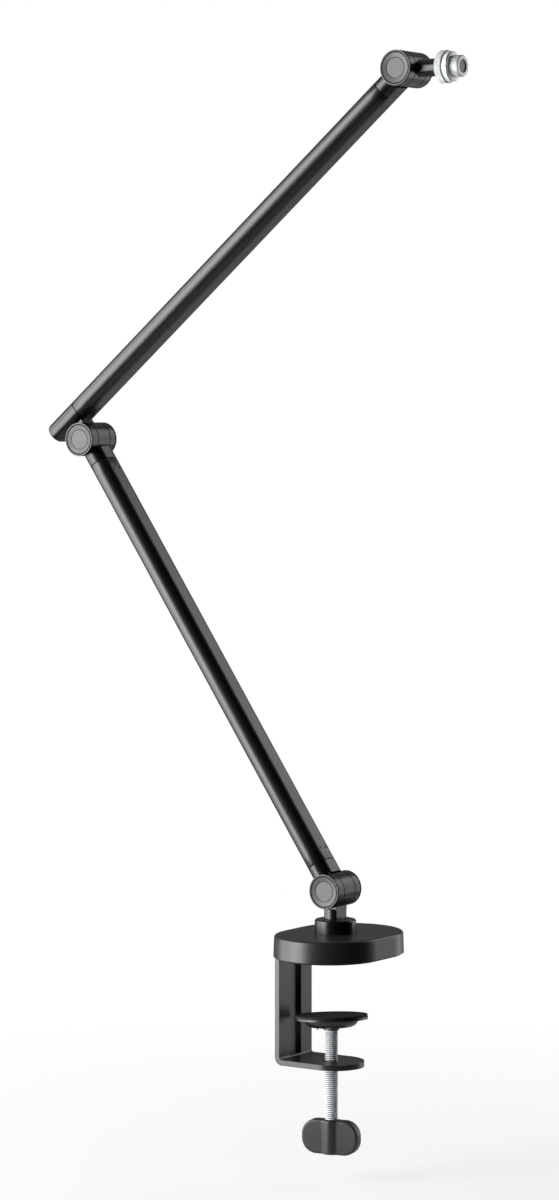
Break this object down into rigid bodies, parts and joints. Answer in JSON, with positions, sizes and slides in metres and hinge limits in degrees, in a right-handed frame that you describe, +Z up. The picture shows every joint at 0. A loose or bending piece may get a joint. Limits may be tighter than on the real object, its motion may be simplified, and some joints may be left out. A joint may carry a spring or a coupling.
{
  "type": "desk clamp boom microphone stand",
  "caption": "Desk-clamped folding boom arm with oval tubes on friction pivots, a swivel base and a threaded stud for a microphone.",
  "frame": {"origin": "swivel axis at the desk top, on the underside of the base pad", "axes": "+Z up, +X away from the desk edge and towards the microphone, the arm folds in the XZ plane, pivots along Y"},
  "size_m": [0.3726, 0.11, 0.8198],
  "materials": {
    "black_alloy": "satin black powder coat on die-cast alloy",
    "black_alloy_satin": "satin black",
    "black_steel": "semi-gloss black coat on bent steel",
    "satin_grey": "fine blasted, anodised grey",
    "zinc_steel": "bright zinc plate",
    "nickel_plate": "bright nickel plate",
    "fastener_steel": "plain zinc",
    "dark_steel": "oiled black",
    "black_plastic": "moulded, semi-matt",
    "fibre_black": "pressed fibre",
    "black_rubber": "matt"
  },
  "bodies": {
    "clamp": {"base_cover": "black_alloy_satin", "desk_pad": "black_rubber", "clamp_bracket": "black_steel", "cover_screws": "fastener_steel", "swivel_turret": "black_alloy", "turret_screws": "fastener_steel", "swivel_bush": "black_plastic"},
    "screw_carrier": {"screw_collar": "dark_steel"},
    "screw": {"clamp_screw": "zinc_steel", "clamp_knob": "black_plastic"},
    "plate": {"pressure_plate": "black_steel", "plate_facing": "black_rubber", "socket_retainer": "dark_steel"},
    "swivel": {"swivel_stem": "black_alloy", "swivel_washer": "fastener_steel", "swivel_spring": "dark_steel", "swivel_screw": "fastener_steel"},
    "lower_arm": {"shoulder_fork": "black_alloy", "shoulder_bolt": "fastener_steel", "shoulder_nut": "fastener_steel", "shoulder_springs": "dark_steel", "shoulder_washers": "fibre_black", "shoulder_cap_front": "satin_grey", "shoulder_cap_rear": "satin_grey", "lower_tube": "black_alloy_satin", "lower_tube_screws": "dark_steel", "elbow_fork": "black_alloy", "elbow_bolt": "fastener_steel", "elbow_nut": "fastener_steel", "elbow_springs": "dark_steel", "elbow_washers": "fibre_black", "elbow_cap_front": "satin_grey", "elbow_cap_rear": "satin_grey"},
    "upper_arm": {"elbow_fitting": "black_alloy", "upper_tube": "black_alloy_satin", "upper_tube_screws": "dark_steel", "head_fork": "black_alloy", "head_bolt": "fastener_steel", "head_nut": "fastener_steel", "head_springs": "dark_steel", "head_washers": "fibre_black", "head_cap_front": "satin_grey", "head_cap_rear": "satin_grey"},
    "head": {"mic_stud": "black_alloy", "stud_core": "dark_steel", "thread_adapter": "nickel_plate"},
    "ring": {"lock_ring": "nickel_plate"}
  },
  "joints": [
    {"name": "clamp_travel", "type": "slide", "parent": "clamp", "child": "screw_carrier", "axis": [0, 0, 1], "range_m": [-0.0205, 0.038]},
    {"name": "clamp_turn", "type": "hinge", "parent": "screw_carrier", "child": "screw", "pos_m": [-0.0034, 0, -0.06], "axis": [0, 0, 1], "range_deg": [-4920, 9120]},
    {"name": "plate_tilt", "type": "hinge", "parent": "screw_carrier", "child": "plate", "pos_m": [-0.0034, 0, -0.0522], "axis": [0.6402, 0.7682, 0], "range_deg": [-0.3, 9.7]},
    {"name": "swivel_turn", "type": "hinge", "parent": "clamp", "child": "swivel", "pos_m": [0, 0, 0.025], "axis": [0, 0, 1], "continuous": true},
    {"name": "shoulder_fold", "type": "hinge", "parent": "swivel", "child": "lower_arm", "pos_m": [0, 0, 0.049], "axis": [0, 1, 0], "range_deg": [-55, 80]},
    {"name": "elbow_fold", "type": "hinge", "parent": "lower_arm", "child": "upper_arm", "pos_m": [-0.22753, 0, 0.38405], "axis": [0, 1, 0], "range_deg": [-84, 80]},
    {"name": "head_tilt", "type": "hinge", "parent": "upper_arm", "child": "head", "pos_m": [0.0615, 0, 0.65582], "axis": [0, 1, 0], "range_deg": [-130, 50]},
    {"name": "lock_ring_turn", "type": "hinge", "parent": "head", "child": "ring", "pos_m": [0.09451, 0, 0.65582], "axis": [1, 0, 0], "range_deg": [-90, 90]}
  ],
  "couplings": [
    {"joint": "clamp_turn", "follows": "clamp_travel", "rad_per_m": 4188.8}
  ]
}
